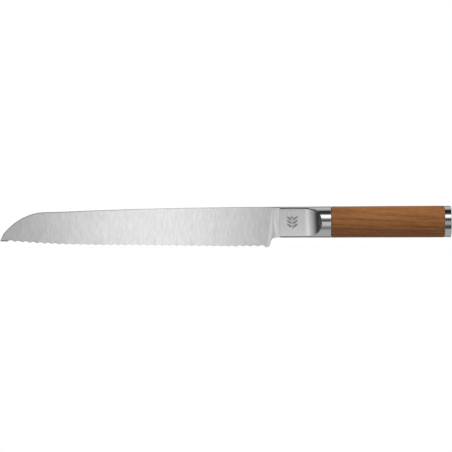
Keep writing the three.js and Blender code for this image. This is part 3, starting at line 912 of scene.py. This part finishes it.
class Surface(Nodes):
    """A new material with one principled shader, textured by object coordinates."""

    def __init__(self, name):
        self.material = bpy.data.materials.new(name)
        self.material.use_nodes = True
        super().__init__(self.material.node_tree)
        output = self.add("ShaderNodeOutputMaterial")
        self.shader = self.add("ShaderNodeBsdfPrincipled")
        self.put(output.inputs[0], self.shader.outputs[0])
        self.place = self.add("ShaderNodeTexCoord").outputs["Object"]

    def noise(self, scale, detail, rough, shift=(0, 0, 0), turn=(0, 0, 0), place=None):
        """Noise stretched by scale: cells per metre along each axis, or one number for all."""
        if not isinstance(scale, tuple):
            scale = (scale,) * 3
        mapping = self.add("ShaderNodeMapping", {
            "Vector": place or self.place, "Scale": scale, "Location": shift, "Rotation": turn})
        return self.add("ShaderNodeTexNoise", {
            "Vector": mapping.outputs[0], "Scale": 1.0, "Detail": detail,
            "Roughness": rough}).outputs["Fac"]

    def bump(self, height, distance, strength):
        return self.add("ShaderNodeBump", {
            "Height": height, "Distance": distance, "Strength": strength}).outputs[0]

    def brush(self, anisotropy):
        """Stretches the highlights, with the tangent along X."""
        self.finish({"Anisotropic": anisotropy, "Tangent": self.vector(1.0, 0.0, 0.0)})

    def finish(self, inputs):
        for key, value in inputs.items():
            self.put(self.shader.inputs[key], value)
        return self.material


# ---------------------------------------------------------------- materials
def blade_steel():
    """Satin steel, ground with lines that run from the spine to the edge."""
    s = Surface("blade_steel")
    x = s.xyz(s.place)[0]
    fine = s.noise(scale=(5200.0, 300.0, 190.0), detail=3.0, rough=0.6)
    lines = s.noise(scale=(1100.0, 200.0, 140.0), detail=3.0, rough=0.62, shift=(3.1, 0.2, 0.7))
    broad = s.noise(scale=(300.0, 90.0, 85.0), detail=2.0, rough=0.5, shift=(1.7, 0.9, 0.3))
    cloud = s.noise(scale=60.0, detail=2.0, rough=0.5, shift=(5.0, 0.0, 1.0))
    # streaks of tone, from the coarsest swing to the faintest
    line_swing = 0.58
    tone = s.math("MULTIPLY_ADD", s.math("SUBTRACT", lines, 0.5), line_swing, 0.0)
    tone = s.vary(tone, fine, swing=0.26)
    tone = s.vary(tone, broad, swing=0.18)
    tone = s.vary(tone, cloud, swing=0.04)
    # painted light: polish holds the steel's tone, made brighter on the ricasso and slightly
    # towards the rear
    polish = s.remap(x, span=(-0.1462, -0.1444), to=(0.44, 0.54), smooth=True)
    polish = s.times(polish, s.remap(x, span=(-0.280, -0.190), to=(1.0, 1.055), smooth=True))
    # painted shade: the tone is darker in the corner against the bolster
    polish = s.times(polish, s.remap(x, span=(-0.1414, -0.1409), to=(1.0, 0.78), smooth=True))
    relief = s.add_scaled(fine, lines, by=2.0)
    s.brush(anisotropy=0.78)
    return s.finish({
        "Base Color": s.grey(s.times(s.plus(tone, 1.0), polish)),
        "Metallic": 1.0,
        "Roughness": s.vary(0.40, fine, swing=0.10),
        "Normal": s.bump(relief, distance=0.0000035, strength=0.6),
    })


def grind_steel():
    """The wheel's finish inside the gullets: bright, with lines along the wheel's path."""
    s = Surface("grind_steel")
    fine = s.noise(scale=(7000.0, 400.0, 120.0), detail=2.0, rough=0.6)
    s.brush(anisotropy=0.6)
    return s.finish({
        "Base Color": s.grey(s.add_scaled(0.60, fine, by=0.14)),
        "Metallic": 1.0,
        "Roughness": s.add_scaled(0.24, fine, by=0.08),
        "Normal": s.bump(fine, distance=0.000003, strength=0.6),
    })


def spine_steel():
    """The spine's crown and the edge's bevel: darker than the faces, with painted shade that is
    deepest at the tip and over the ricasso.
    """
    s = Surface("spine_steel")
    x = s.xyz(s.place)[0]
    fine = s.noise(scale=(2600.0, 300.0, 300.0), detail=3.0, rough=0.6)
    # painted shade: darker towards the tip and, by the next factor, over the ricasso
    base = s.remap(x, span=(-0.368, -0.22), to=(0.21, 0.42))
    base = s.times(base, s.remap(x, span=(-0.156, -0.1425), to=(1.0, 0.42), smooth=True))
    s.brush(anisotropy=0.7)
    return s.finish({
        "Base Color": s.grey(s.vary(base, fine, swing=0.08)),
        "Metallic": 1.0,
        "Roughness": s.vary(0.38, fine, swing=0.10),
        "Normal": s.bump(fine, distance=0.000003, strength=0.6),
    })


def polished_steel():
    """Polished steel with faint turning lines round the axis and a few hairline marks."""
    s = Surface("polished_steel")
    turning = s.noise(scale=(5200.0, 26.0, 26.0), detail=3.0, rough=0.6)
    hair = s.noise(scale=(420.0, 2600.0, 2600.0), detail=2.0, rough=0.5,
                   shift=(0.4, 0.1, 0.9), turn=(0.0, 0.5, 0.3))
    smudge = s.noise(scale=140.0, detail=3.0, rough=0.55, shift=(0.9, 0.3, 0.1))
    base = s.vary(0.655, turning, swing=0.06)
    # a slightly cool tint
    less_red, more_blue = 0.992, 1.012
    roughness = s.vary(0.075, smudge, swing=0.05)
    roughness = s.plus(roughness, s.remap(hair, span=(0.70, 0.80), to=(0.0, 0.07)))
    return s.finish({
        "Base Color": s.colour(s.times(base, less_red), base, s.times(base, more_blue)),
        "Metallic": 1.0,
        "Roughness": roughness,
        "Normal": s.bump(turning, distance=0.0000011, strength=0.5),
    })


def flat_steel():
    """The bolster's ground flats and scoops: an even, fine satin."""
    s = Surface("flat_steel")
    grit = s.noise(scale=5200.0, detail=3.0, rough=0.6)
    lines = s.noise(scale=(2600.0, 300.0, 150.0), detail=3.0, rough=0.6, shift=(0.3, 0.2, 0.1))
    cloud = s.noise(scale=210.0, detail=2.0, rough=0.5, shift=(2.0, 0.0, 1.0))
    tone = s.vary(s.centred(lines, swing=0.14), grit, swing=0.16)
    tone = s.vary(tone, cloud, swing=0.07)
    # painted light: a little lighter downwards
    z = s.xyz(s.place)[2]
    base = s.remap(z, span=(-0.010, 0.010), to=(0.785, 0.685))
    s.brush(anisotropy=0.2)
    return s.finish({
        "Base Color": s.grey(s.times(s.plus(tone, 1.0), base)),
        "Metallic": 1.0,
        "Roughness": s.vary(0.27, grit, swing=0.10),
        "Normal": s.bump(s.plus(grit, lines), distance=0.0000035, strength=0.6),
    })


def etched_steel():
    """The wheat mark: dark and matt."""
    s = Surface("etched_steel")
    grit = s.noise(scale=6500.0, detail=2.0, rough=0.6)
    return s.finish({
        "Base Color": s.grey(s.add_scaled(0.32, grit, by=0.14)),
        "Metallic": 0.85,
        "Roughness": s.add_scaled(0.52, grit, by=0.16),
        "Normal": s.bump(grit, distance=0.00001, strength=0.7),
    })


def turned_steel():
    """Hidden fasteners, as turned."""
    s = Surface("turned_steel")
    turning = s.noise(scale=(3200.0, 90.0, 90.0), detail=3.0, rough=0.6)
    return s.finish({
        "Base Color": s.grey(s.add_scaled(0.42, turning, by=0.2)),
        "Metallic": 1.0,
        "Roughness": s.add_scaled(0.30, turning, by=0.2),
        "Normal": s.bump(turning, distance=0.00001, strength=0.6),
    })


def handle_wood():
    """Oiled reddish-brown wood: straight fibres, soft growth bands and short dark pores."""
    s = Surface("handle_wood")
    # the grain runs out slightly along x, with a slow wander
    wander = s.noise(scale=(9.0, 30.0, 30.0), detail=2.0, rough=0.5)
    x, y, z = s.xyz(s.place)
    run_out = 0.030
    grain_z = s.plus(z, s.vary(s.times(x, run_out), wander, swing=0.0028))
    along = s.vector(x, y, grain_z)
    # growth bands round a centre that lies below the handle and to its right
    centre_y, centre_below = 0.030, 0.055
    dy = s.math("SUBTRACT", y, centre_y)
    dz = s.plus(grain_z, centre_below)
    distance = s.math("SQRT", s.plus(s.times(dy, dy), s.times(dz, dz)))
    warp = s.noise(scale=(14.0, 220.0, 220.0), detail=2.0, rough=0.5, shift=(0.7, 0.1, 0.4),
                   place=along)
    band_rate, warp_phase, band_sharpness = 1900.0, 5.0, 1.6
    phase = s.plus(s.times(distance, band_rate), s.times(warp, warp_phase))
    rings = s.math("MULTIPLY_ADD", s.math("SINE", phase), 0.5, 0.5)
    rings = s.math("POWER", rings, band_sharpness)
    broad = s.noise(scale=(22.0, 270.0, 270.0), detail=3.0, rough=0.6, shift=(0.2, 0.6, 0.9),
                    place=along)
    fibre = s.noise(scale=(80.0, 820.0, 820.0), detail=4.0, rough=0.68, shift=(0.1, 0.4, 0.2),
                    place=along)
    fleck = s.noise(scale=(260.0, 2600.0, 2600.0), detail=2.0, rough=0.5,
                    shift=(0.9, 0.7, 0.5), place=along)
    pores = s.noise(scale=(210.0, 5200.0, 5200.0), detail=1.0, rough=0.4,
                    shift=(0.3, 0.3, 0.8), place=along)
    pores = s.remap(pores, span=(0.63, 0.74), to=(0.0, 1.0), smooth=True)
    broad_share, ring_share, pore_cover = 0.38, 0.10, 0.55
    tone = s.times(broad, broad_share)
    tone = s.add_scaled(tone, fibre, by=0.50)
    tone = s.add_scaled(tone, fleck, by=0.24)
    tone = s.math("SUBTRACT", tone, s.times(rings, ring_share))
    colour = s.ramp(tone, [
        (0.22, (0.110, 0.036, 0.010)), (0.38, (0.192, 0.068, 0.020)),
        (0.50, (0.258, 0.101, 0.031)), (0.62, (0.316, 0.133, 0.044)),
        (0.80, (0.396, 0.180, 0.066)),
    ])
    pore_colour = (0.060, 0.020, 0.008, 1.0)
    # relief: raised fibres and flecks, sunken pores
    fibre_height, fleck_height, pore_depth = 0.5, 0.25, 0.9
    raised = s.plus(s.times(fibre, fibre_height), s.times(fleck, fleck_height))
    relief = s.math("SUBTRACT", raised, s.times(pores, pore_depth))
    return s.finish({
        "Base Color": s.mix(s.times(pores, pore_cover), colour, pore_colour),
        "Metallic": 0.0,
        "Roughness": s.add_scaled(s.vary(0.46, fibre, swing=0.22), pores, by=0.2),
        "IOR": 1.46,
        "Specular IOR Level": 0.20,
        "Normal": s.bump(relief, distance=0.00005, strength=0.55),
    })


def gasket_fibre():
    s = Surface("gasket_fibre")
    grit = s.noise(scale=2500.0, detail=3.0, rough=0.6)
    return s.finish({
        "Base Color": s.ramp(grit, [(0.3, (0.020, 0.011, 0.007)), (0.7, (0.050, 0.028, 0.018))]),
        "Roughness": s.add_scaled(0.7, grit, by=0.2),
        "Normal": s.bump(grit, distance=0.00003, strength=0.6),
    })


def cured_epoxy():
    """Amber adhesive with small bubbles."""
    s = Surface("cured_epoxy")
    cloud = s.noise(scale=160.0, detail=3.0, rough=0.5)
    cells = s.add("ShaderNodeTexVoronoi", {"Vector": s.place, "Scale": 900.0})
    bubbles = s.remap(cells.outputs["Distance"], span=(0.10, 0.16), to=(1.0, 0.0))
    return s.finish({
        "Base Color": s.ramp(cloud, [(0.3, (0.33, 0.24, 0.09)), (0.7, (0.48, 0.38, 0.18))]),
        "Roughness": s.add_scaled(0.22, bubbles, by=0.3),
        "Normal": s.bump(bubbles, distance=0.00004, strength=0.5),
    })


def seal_rubber():
    s = Surface("seal_rubber")
    grit = s.noise(scale=3000.0, detail=2.0, rough=0.6)
    return s.finish({
        "Base Color": s.grey(s.add_scaled(0.010, grit, by=0.012)),
        "Roughness": s.add_scaled(0.55, grit, by=0.2),
        "Normal": s.bump(grit, distance=0.00001, strength=0.5),
    })


# ---------------------------------------------------------------- build, dress and hand over
def dress(obj, *materials):
    """Gives a piece its materials and keeps each face's slot."""
    polygons = obj.data.polygons
    slots = np.zeros(len(polygons), int)
    polygons.foreach_get("material_index", slots)
    obj.data.materials.clear()
    for material in materials:
        obj.data.materials.append(material)
    polygons.foreach_set("material_index", np.clip(slots, 0, len(materials) - 1))
    obj.data.update()


# the CAD node each piece replaces, its mesh and its slot name
pieces = [
    ("blade", make_blade(), "blade_steel"),
    ("bolster", make_bolster(), "polished_steel"),
    ("front_gasket", make_gasket(), "dark_fibre"),
    ("handle", make_handle(), "handle_wood"),
    ("end_cap", make_end_cap(), "polished_steel"),
    ("dowel_upper", make_dowel("dowel_upper_visual", 1), "plain_steel"),
    ("dowel_lower", make_dowel("dowel_lower_visual", -1), "plain_steel"),
    ("tie_rod", make_tie_rod(), "plain_steel"),
    ("load_washer", make_washer(), "plain_steel"),
    ("disc_spring", make_spring(), "plain_steel"),
    ("tang_nut", make_nut(), "plain_steel"),
    ("cap_seal", make_seal(), "seal_rubber"),
    ("adhesive_core", make_core(), "cured_epoxy"),
]
wheat_mark = make_wheat_mark()

blade_materials = (blade_steel(), grind_steel(), spine_steel())
polish, flat_satin, etched, plain_steel = (
    polished_steel(), flat_steel(), etched_steel(), turned_steel())
wood, fibre_board, epoxy, rubber = handle_wood(), gasket_fibre(), cured_epoxy(), seal_rubber()
piece_materials = {
    "blade": blade_materials, "bolster": (polish, flat_satin), "front_gasket": (fibre_board,),
    "handle": (wood,), "end_cap": (polish,), "cap_seal": (rubber,), "adhesive_core": (epoxy,),
}
for node, piece, slot in pieces:
    dress(piece, *piece_materials.get(node, (plain_steel,)))
    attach(piece, "root")
    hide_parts(node)
dress(wheat_mark, etched)
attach(wheat_mark, "root")

# ---------------------------------------------------------------- studio
scene.view_settings.view_transform = "Standard"
scene.view_settings.look = "None"
scene.view_settings.exposure = 0.0
scene.view_settings.gamma = 1.0

STEEL = 0.66          # how much of the studio the polished steel gives back
STUDIO_STRENGTH = 2.5

# What the studio shows round the handle's axis, as (degrees, tone): 0 is the camera, 90 overhead,
# 180 behind the knife, -90 below. The tone is how bright that direction looks in polished steel,
# in sRGB from 0 to 255. A ramp holds at most 32 stops.
BANDS_MID = [
    (-180, 60), (-152, 96), (-140, 118), (-127, 158), (-72, 160), (-64, 152), (-50, 120),
    (-42, 108), (-36, 130), (-30, 160), (-24, 178), (-12, 186), (-2, 184), (2, 160), (5, 118),
    (9, 66), (15, 86), (20, 120), (24.5, 150), (29, 205), (33, 258), (51, 262), (56, 160),
    (62, 76), (70, 46), (90, 54), (97, 136), (106, 172), (122, 184), (138, 166), (147, 150),
    (155, 72),
]
# the same, more than about 3 degrees towards +X
BANDS_REAR = [
    (-180, 90), (-150, 120), (-130, 150), (-106, 156), (-62, 156), (-59, 140), (-54, 84),
    (-48, 56), (-36, 54), (-30, 76), (-25, 108), (-20, 144), (-10, 144), (1, 142), (4, 110),
    (7, 62), (10, 34), (17, 48), (22, 110), (27, 150), (31, 262), (48, 262), (52, 150),
    (57, 72), (66, 36), (80, 16), (92, 30), (99, 120), (107, 165), (124, 180), (140, 165),
    (152, 90),
]
# broad, soft light further towards -X and +X: (share of the circle from -180 degrees, brightness)
WIDE = [
    (0.0, 0.50), (0.06, 0.46), (0.13, 0.15), (0.25, 0.16), (0.38, 0.26), (0.46, 0.36),
    (0.54, 0.40), (0.62, 0.42), (0.72, 0.26), (0.82, 0.16), (0.88, 0.15), (0.94, 0.46),
    (1.0, 0.50),
]
# (degrees towards +X, factor on the wide light): level with the knife it falls off towards -X,
# where the bolster's scoops look, and again on the +X side of the camera
LEVEL = [
    (-90, 0.0), (-80, 0.0), (-74, 0.012), (-67, 0.055), (-61, 0.175), (-54, 0.36), (-48, 0.475),
    (-41, 0.52), (-35, 0.60), (-29, 0.71), (-23, 0.88), (-17, 1.05), (-11, 1.16), (-5, 1.28),
    (0, 1.45), (8, 1.32), (14, 0.95), (19, 0.36), (27, 0.12), (42, 0.12), (56, 0.80), (90, 1.0),
]
ELSEWHERE = [(-90, 0.02), (-72, 0.06), (-60, 0.30), (-46, 0.65), (-20, 1.0), (20, 1.0), (90, 1.0)]


def linear(tone):
    c = tone / 255.0
    return c / 12.92 if c <= 0.04045 else ((c + 0.055) / 1.055) ** 2.4


def make_world():
    world = bpy.data.worlds.new("studio")
    scene.world = world
    world.use_nodes = True
    w = Nodes(world.node_tree)
    output = w.add("ShaderNodeOutputWorld")
    background = w.add("ShaderNodeBackground", {"Strength": STUDIO_STRENGTH})
    w.put(output.inputs[0], background.outputs[0])
    x, y, z = w.xyz(w.add("ShaderNodeTexCoord").outputs["Generated"])
    to_degrees = 180 / math.pi
    roll = w.math("ARCTAN2", z, w.times(y, -1.0))
    roll_share = w.math("MULTIPLY_ADD", roll, 0.5 / math.pi, 0.5)
    side = w.times(w.math("ARCSINE", x), to_degrees)

    def band_ramp(table):
        return w.grey_ramp(roll_share, [((degrees + 180) / 360,
                                         linear(tone) / STEEL / STUDIO_STRENGTH)
                                        for degrees, tone in table])

    middle, rear = band_ramp(BANDS_MID), band_ramp(BANDS_REAR)
    to_rear = w.remap(side, span=(2.3, 3.5), to=(0.0, 1.0), smooth=True)
    bands = w.mix(to_rear, middle, rear)

    wide = w.grey_ramp(roll_share, WIDE)
    side_share = w.math("MULTIPLY_ADD", side, 1 / 180, 0.5)
    level, elsewhere = (
        w.grey_ramp(side_share, [((degrees + 90) / 180, value) for degrees, value in table])
        for table in (LEVEL, ELSEWHERE))
    roll_size = w.times(w.math("ABSOLUTE", roll), to_degrees)
    off_level = w.remap(roll_size, span=(30.0, 58.0), to=(0.0, 1.0), smooth=True)
    wide = w.mix(1.0, wide, w.mix(off_level, level, elsewhere), blend="MULTIPLY")

    # a black flag, above and in front of the knife towards -X, shows in the chamfer over the scoop
    flag_cover = 0.9
    roll_degrees = w.times(roll, to_degrees)
    flag = w.times(w.remap(roll_degrees, span=(26.0, 40.0), to=(0.0, 1.0), smooth=True),
                   w.remap(roll_degrees, span=(66.0, 84.0), to=(1.0, 0.0), smooth=True))
    flag = w.times(flag, w.remap(side, span=(-4.0, -8.0), to=(0.0, 1.0)))
    wide = w.mix(w.times(flag, flag_cover), wide, (0.0, 0.0, 0.0, 1.0))

    to_wide = w.remap(w.math("ABSOLUTE", side), span=(5.0, 7.5), to=(0.0, 1.0), smooth=True)
    studio = w.mix(to_wide, bands, wide)
    # the camera itself sees plain white
    camera_ray = w.add("ShaderNodeLightPath").outputs["Is Camera Ray"]
    white = (1 / STUDIO_STRENGTH,) * 3 + (1.0,)
    w.put(background.inputs["Color"], w.mix(camera_ray, studio, white))
    world.cycles.sampling_method = "MANUAL"
    world.cycles.sample_map_resolution = 1024


def area_light(name, location, target, size, watts):
    data = bpy.data.lights.new(name, "AREA")
    data.shape, data.energy = "RECTANGLE", watts
    data.size, data.size_y = size
    light = bpy.data.objects.new(name, data)
    light.location = location
    light.rotation_mode = "QUATERNION"
    light.rotation_quaternion = (Vector(target) - Vector(location)).to_track_quat("-Z", "Y")
    scene.collection.objects.link(light)
    light.visible_camera = False
    return light


def make_lights(blade):
    # a softbox close to the blade's middle, on the blade alone, brightens it from both ends
    softbox = area_light("blade_softbox", location=(-0.252, -0.15, -0.004),
                         target=(-0.252, 0.0, -0.004), size=(0.135, 0.30), watts=0.249)
    softbox.visible_diffuse = False
    reach = bpy.data.collections.new("blade_softbox_reach")
    reach.objects.link(blade)
    softbox.light_linking.receiver_collection = reach
    # an overhead key for the wood and the floor
    key = area_light("key", location=(-0.15, -0.75, 1.15), target=(-0.15, 0.0, 0.0),
                     size=(1.1, 0.8), watts=13.0)
    key.visible_glossy = False


# ---------------------------------------------------------------- floor
FLOOR_CENTRE = (-0.185, 0.0, (HEEL_Z - 0.05) * MM)
FLOOR_R, FLOOR_RINGS, FLOOR_SEGMENTS = 0.95, 24, 96


def floor_material():
    """Pale grey that fades into white away from the knife."""
    material = bpy.data.materials.new("floor")
    material.use_nodes = True
    f = Nodes(material.node_tree)
    output = f.add("ShaderNodeOutputMaterial")
    pale = f.add("ShaderNodeBsdfDiffuse", {"Color": (0.83, 0.83, 0.83, 1.0)})
    white = f.add("ShaderNodeEmission", {"Color": (1.0, 1.0, 1.0, 1.0), "Strength": 1.0})
    place = f.add("ShaderNodeTexCoord").outputs["Object"]
    away = f.add("ShaderNodeVectorMath", operation="DISTANCE")
    f.put(away.inputs[0], place)
    f.put(away.inputs[1], FLOOR_CENTRE)
    fade = f.remap(away.outputs["Value"], span=(0.22, 0.85), to=(0.0, 1.0), smooth=True)
    mix = f.add("ShaderNodeMixShader", {0: fade, 1: pale.outputs[0], 2: white.outputs[0]})
    f.put(output.inputs[0], mix.outputs[0])
    return material


def make_floor():
    """A disc of rings that widen outwards."""
    centre_x, centre_y, z = FLOOR_CENTRE
    n = FLOOR_SEGMENTS
    verts = [FLOOR_CENTRE]
    for i in range(1, FLOOR_RINGS + 1):
        radius = FLOOR_R * (i / FLOOR_RINGS) ** 1.4
        for s in range(n):
            a = 2 * math.pi * s / n
            verts.append((centre_x + radius * math.cos(a), centre_y + radius * math.sin(a), z))
    faces = [(0, 1 + s, 1 + (s + 1) % n) for s in range(n)]
    for i in range(FLOOR_RINGS - 1):
        a, b = 1 + i * n, 1 + (i + 1) * n
        for s in range(n):
            t = (s + 1) % n
            faces.append((a + s, b + s, b + t, a + t))
    mesh = bpy.data.meshes.new("floor")
    mesh.from_pydata(verts, [], faces)
    floor = bpy.data.objects.new("floor", mesh)
    scene.collection.objects.link(floor)
    mesh.materials.append(floor_material())
    floor.visible_glossy = False
    floor.visible_diffuse = False


# ---------------------------------------------------------------- camera
VIEW_WIDTH = 371.996                         # width of the view at the knife
VIEW_X, VIEW_Z = -185.19, -2.893             # the view's centre
CAMERA_DISTANCE, CAMERA_Z = 2750.0, HEEL_Z + 0.2
ROLL_SLOPE = 0.00449
SENSOR_WIDTH = 36.0


def make_camera():
    """Level just above the floor, looking to +Y; the lens shift centres the knife."""
    data = bpy.data.cameras.new("camera")
    data.type = "PERSP"
    data.sensor_fit = "HORIZONTAL"
    data.sensor_width = SENSOR_WIDTH
    data.lens = SENSOR_WIDTH * CAMERA_DISTANCE / VIEW_WIDTH
    camera = bpy.data.objects.new("camera", data)
    scene.collection.objects.link(camera)
    roll = math.atan(ROLL_SLOPE)
    cos, sin = math.cos(roll), math.sin(roll)
    rise = VIEW_Z - CAMERA_Z
    data.shift_x = -rise * sin / VIEW_WIDTH
    data.shift_y = rise * cos / VIEW_WIDTH
    camera.matrix_world = Matrix((
        (cos, sin, 0.0, VIEW_X * MM),
        (0.0, 0.0, -1.0, -CAMERA_DISTANCE * MM),
        (-sin, cos, 0.0, CAMERA_Z * MM),
        (0.0, 0.0, 0.0, 1.0),
    ))
    data.clip_start, data.clip_end = 0.05, 50.0
    scene.camera = camera


make_world()
make_lights(pieces[0][1])
make_floor()
make_camera()
